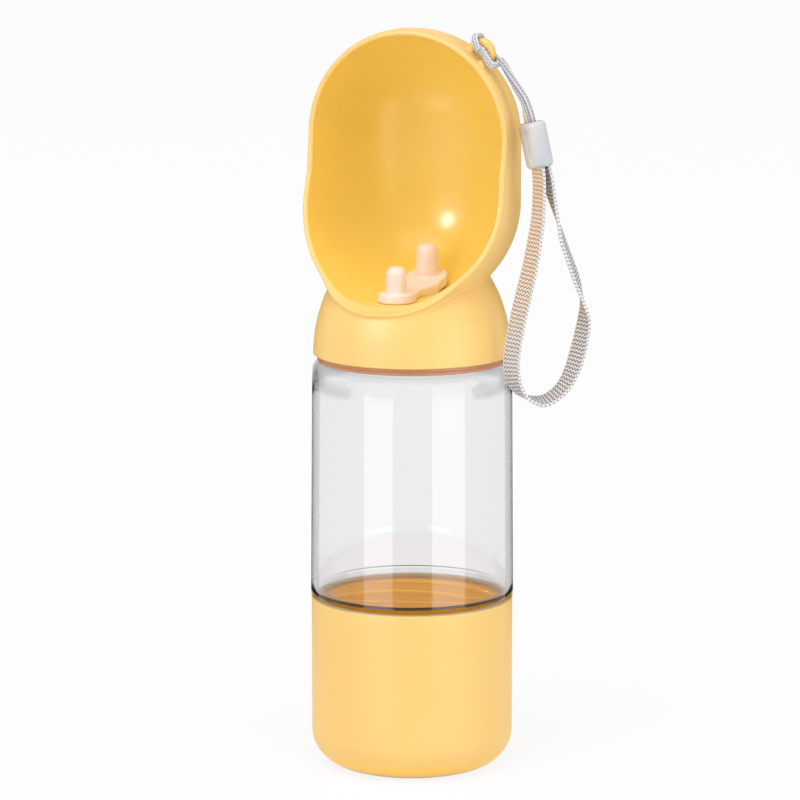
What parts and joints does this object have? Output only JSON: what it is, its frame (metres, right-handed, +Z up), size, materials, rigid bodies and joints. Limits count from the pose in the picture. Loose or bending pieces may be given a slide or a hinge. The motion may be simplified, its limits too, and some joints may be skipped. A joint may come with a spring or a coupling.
{
  "type": "dog travel water bottle",
  "caption": "Portable pet water bottle: clear bottle with a screw-on drinking bowl on top, silicone stopper, wrist strap and a screw-on food cup below.",
  "frame": {"origin": "centre of the food cup's base, on the surface it stands on", "axes": "+Z up along the bottle's axis; the drinking bowl opens towards -Y; the strap lug is on the +X side"},
  "size_m": [0.0949, 0.069, 0.2452],
  "materials": {
    "satin_plastic": "satin",
    "clear_plastic": "polished clear",
    "clear_silicone": "satin",
    "amber_silicone": "satin",
    "pale_silicone": "satin translucent",
    "woven_strap": "woven",
    "slider_plastic": "satin translucent"
  },
  "bodies": {
    "food_cup": {"base_cup": "satin_plastic"},
    "base_seal_ring": {"base_seal": "clear_silicone"},
    "bottle_body": {"bottle": "clear_plastic"},
    "cap_seal_ring": {"cap_seal": "amber_silicone"},
    "head": {"drinking_head": "satin_plastic"},
    "plug": {"stopper": "pale_silicone"},
    "strap": {"strap_hitch": "woven_strap", "strap_upper": "woven_strap", "strap_loop": "woven_strap"},
    "slider": {"strap_slider": "slider_plastic"}
  },
  "joints": [
    {"name": "base_lift", "type": "slide", "parent": "food_cup", "child": "base_seal_ring", "axis": [0, 0, 1], "range_m": [0, 0.016]},
    {"name": "base_twist", "type": "hinge", "parent": "base_seal_ring", "child": "bottle_body", "pos_m": [0, 0, 0.057], "axis": [0, 0, 1], "range_deg": [0, 720]},
    {"name": "head_lift", "type": "slide", "parent": "bottle_body", "child": "cap_seal_ring", "axis": [0, 0, 1], "range_m": [0, 0.014]},
    {"name": "head_twist", "type": "hinge", "parent": "cap_seal_ring", "child": "head", "pos_m": [0, 0, 0.1383], "axis": [0, 0, 1], "range_deg": [0, 720]},
    {"name": "stopper_pull", "type": "slide", "parent": "head", "child": "plug", "axis": [0, 0, 1], "range_m": [0, 0.02]},
    {"name": "strap_swing", "type": "hinge", "parent": "head", "child": "strap", "pos_m": [0.02424, 0, 0.23818], "axis": [0, -1, 0], "range_deg": [0, 40]},
    {"name": "slider_slide", "type": "slide", "parent": "strap", "child": "slider", "axis": [-0.225, 0, 0.9744], "range_m": [0, 0.005]}
  ],
  "couplings": [
    {"joint": "base_lift", "follows": "base_twist", "m_per_rad": 0.001273},
    {"joint": "head_lift", "follows": "head_twist", "m_per_rad": 0.001114}
  ]
}
